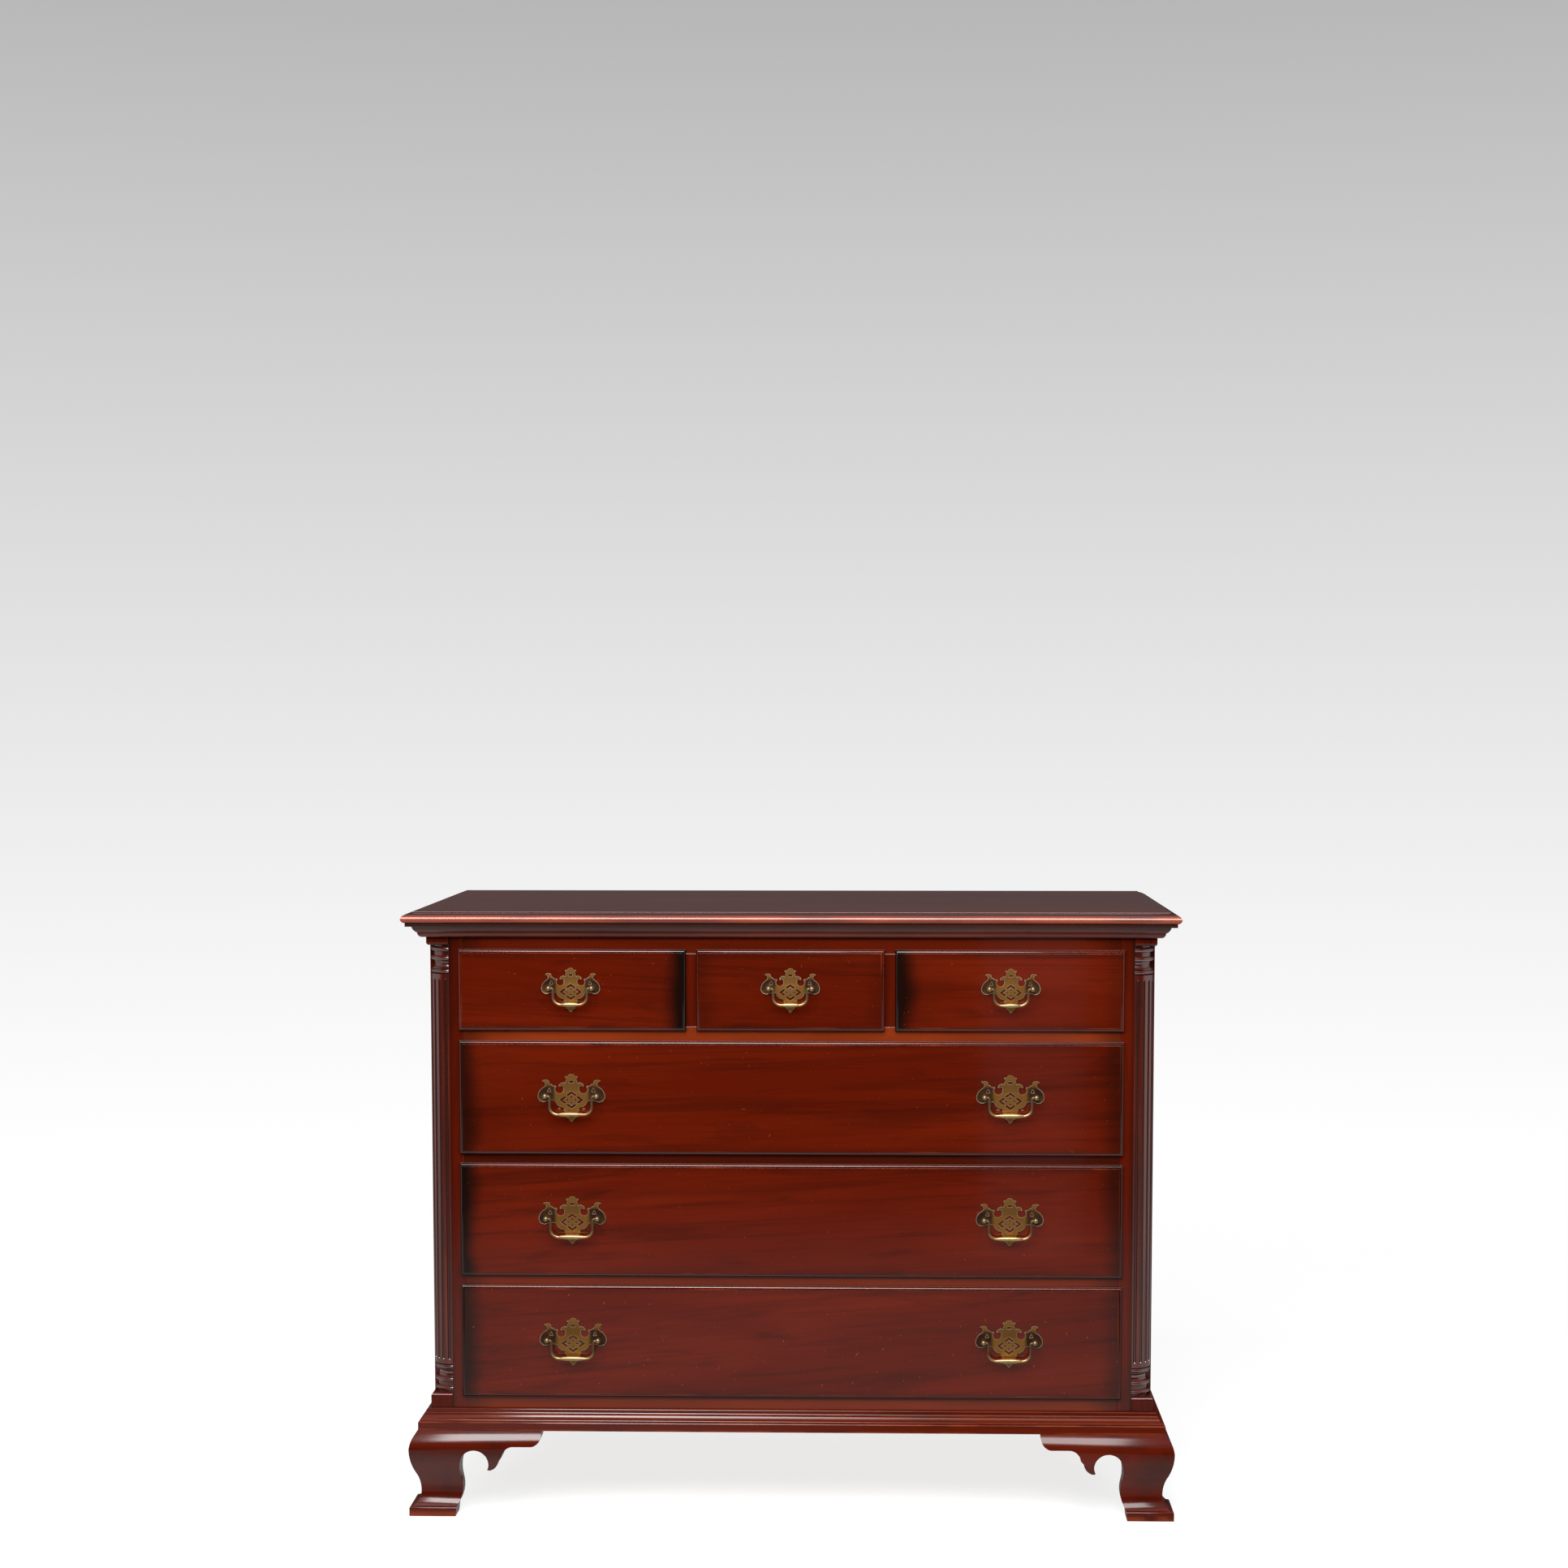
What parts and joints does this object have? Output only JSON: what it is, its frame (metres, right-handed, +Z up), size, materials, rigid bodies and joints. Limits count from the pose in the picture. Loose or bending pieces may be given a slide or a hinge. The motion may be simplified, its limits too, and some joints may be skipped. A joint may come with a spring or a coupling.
{
  "type": "chest of drawers",
  "caption": "Flat-fronted mahogany chest with small drawers over long ones, fluted quarter columns, moulded top and base, ogee bracket feet and pierced brass bail pulls.",
  "frame": {"origin": "on the floor under the middle of the top board's outline", "axes": "+Z up, front towards -Y, +X to the right as seen from the front"},
  "size_m": [1.147, 0.5494, 0.9059],
  "materials": {
    "case_mahogany": "dark red-brown mahogany under glossy aged varnish",
    "drawer_mahogany": "figured red mahogany under glossy aged varnish, darker towards the edges",
    "inner_wood": "plain unvarnished pale timber",
    "plate_brass": "antique brass with grey-brown patina",
    "bail_brass": "antique brass rubbed bright by use"
  },
  "bodies": {
    "case": {"top_board": "case_mahogany", "cornice_moulding": "case_mahogany", "side_left": "case_mahogany", "side_right": "case_mahogany", "post_left": "case_mahogany", "post_right": "case_mahogany", "column_left": "case_mahogany", "column_right": "case_mahogany", "column_blocks": "case_mahogany", "top_rail": "case_mahogany", "drawer_rails": "case_mahogany", "bottom_rail": "case_mahogany", "drawer_dividers": "case_mahogany", "base_moulding": "case_mahogany", "front_feet": "case_mahogany", "rear_feet": "case_mahogany", "drawer_runners": "inner_wood", "drawer_guides": "inner_wood", "dust_boards": "inner_wood", "top_cleats": "inner_wood", "back_panel": "inner_wood"},
    "small_drawer_left": {"small_drawer_left_front": "drawer_mahogany", "small_drawer_left_box": "inner_wood", "small_drawer_left_bottom": "inner_wood", "small_drawer_left_pull_plates": "plate_brass", "small_drawer_left_pull_posts": "bail_brass"},
    "small_drawer_left_bail": {"small_drawer_left_bail": "bail_brass"},
    "small_drawer_middle": {"small_drawer_middle_front": "drawer_mahogany", "small_drawer_middle_box": "inner_wood", "small_drawer_middle_bottom": "inner_wood", "small_drawer_middle_pull_plates": "plate_brass", "small_drawer_middle_pull_posts": "bail_brass"},
    "small_drawer_middle_bail": {"small_drawer_middle_bail": "bail_brass"},
    "small_drawer_right": {"small_drawer_right_front": "drawer_mahogany", "small_drawer_right_box": "inner_wood", "small_drawer_right_bottom": "inner_wood", "small_drawer_right_pull_plates": "plate_brass", "small_drawer_right_pull_posts": "bail_brass"},
    "small_drawer_right_bail": {"small_drawer_right_bail": "bail_brass"},
    "long_drawer_upper": {"long_drawer_upper_front": "drawer_mahogany", "long_drawer_upper_box": "inner_wood", "long_drawer_upper_bottom": "inner_wood", "long_drawer_upper_pull_plates": "plate_brass", "long_drawer_upper_pull_posts": "bail_brass"},
    "long_drawer_upper_bail_left": {"long_drawer_upper_bail_left": "bail_brass"},
    "long_drawer_upper_bail_right": {"long_drawer_upper_bail_right": "bail_brass"},
    "long_drawer_centre": {"long_drawer_centre_front": "drawer_mahogany", "long_drawer_centre_box": "inner_wood", "long_drawer_centre_bottom": "inner_wood", "long_drawer_centre_pull_plates": "plate_brass", "long_drawer_centre_pull_posts": "bail_brass"},
    "long_drawer_centre_bail_left": {"long_drawer_centre_bail_left": "bail_brass"},
    "long_drawer_centre_bail_right": {"long_drawer_centre_bail_right": "bail_brass"},
    "long_drawer_lower": {"long_drawer_lower_front": "drawer_mahogany", "long_drawer_lower_box": "inner_wood", "long_drawer_lower_bottom": "inner_wood", "long_drawer_lower_pull_plates": "plate_brass", "long_drawer_lower_pull_posts": "bail_brass"},
    "long_drawer_lower_bail_left": {"long_drawer_lower_bail_left": "bail_brass"},
    "long_drawer_lower_bail_right": {"long_drawer_lower_bail_right": "bail_brass"}
  },
  "joints": [
    {"name": "small_drawer_left_slide", "type": "slide", "parent": "case", "child": "small_drawer_left", "axis": [0, -1, 0], "range_m": [0, 0.36]},
    {"name": "small_drawer_left_bail_swing", "type": "hinge", "parent": "small_drawer_left", "child": "small_drawer_left_bail", "pos_m": [-0.32505, -0.26355, 0.7929], "axis": [-1, 0, 0], "range_deg": [-12, 170]},
    {"name": "small_drawer_middle_slide", "type": "slide", "parent": "case", "child": "small_drawer_middle", "axis": [0, -1, 0], "range_m": [0, 0.36]},
    {"name": "small_drawer_middle_bail_swing", "type": "hinge", "parent": "small_drawer_middle", "child": "small_drawer_middle_bail", "pos_m": [0, -0.26355, 0.7929], "axis": [-1, 0, 0], "range_deg": [-12, 170]},
    {"name": "small_drawer_right_slide", "type": "slide", "parent": "case", "child": "small_drawer_right", "axis": [0, -1, 0], "range_m": [0, 0.36]},
    {"name": "small_drawer_right_bail_swing", "type": "hinge", "parent": "small_drawer_right", "child": "small_drawer_right_bail", "pos_m": [0.32505, -0.26355, 0.7929], "axis": [-1, 0, 0], "range_deg": [-12, 170]},
    {"name": "long_drawer_upper_slide", "type": "slide", "parent": "case", "child": "long_drawer_upper", "axis": [0, -1, 0], "range_m": [0, 0.36]},
    {"name": "long_drawer_upper_bail_left_swing", "type": "hinge", "parent": "long_drawer_upper", "child": "long_drawer_upper_bail_left", "pos_m": [-0.32505, -0.26355, 0.6324], "axis": [-1, 0, 0], "range_deg": [-12, 170]},
    {"name": "long_drawer_upper_bail_right_swing", "type": "hinge", "parent": "long_drawer_upper", "child": "long_drawer_upper_bail_right", "pos_m": [0.32505, -0.26355, 0.6324], "axis": [-1, 0, 0], "range_deg": [-12, 170]},
    {"name": "long_drawer_centre_slide", "type": "slide", "parent": "case", "child": "long_drawer_centre", "axis": [0, -1, 0], "range_m": [0, 0.36]},
    {"name": "long_drawer_centre_bail_left_swing", "type": "hinge", "parent": "long_drawer_centre", "child": "long_drawer_centre_bail_left", "pos_m": [-0.32505, -0.26355, 0.449], "axis": [-1, 0, 0], "range_deg": [-12, 170]},
    {"name": "long_drawer_centre_bail_right_swing", "type": "hinge", "parent": "long_drawer_centre", "child": "long_drawer_centre_bail_right", "pos_m": [0.32505, -0.26355, 0.449], "axis": [-1, 0, 0], "range_deg": [-12, 170]},
    {"name": "long_drawer_lower_slide", "type": "slide", "parent": "case", "child": "long_drawer_lower", "axis": [0, -1, 0], "range_m": [0, 0.36]},
    {"name": "long_drawer_lower_bail_left_swing", "type": "hinge", "parent": "long_drawer_lower", "child": "long_drawer_lower_bail_left", "pos_m": [-0.32505, -0.26355, 0.2656], "axis": [-1, 0, 0], "range_deg": [-12, 170]},
    {"name": "long_drawer_lower_bail_right_swing", "type": "hinge", "parent": "long_drawer_lower", "child": "long_drawer_lower_bail_right", "pos_m": [0.32505, -0.26355, 0.2656], "axis": [-1, 0, 0], "range_deg": [-12, 170]}
  ]
}
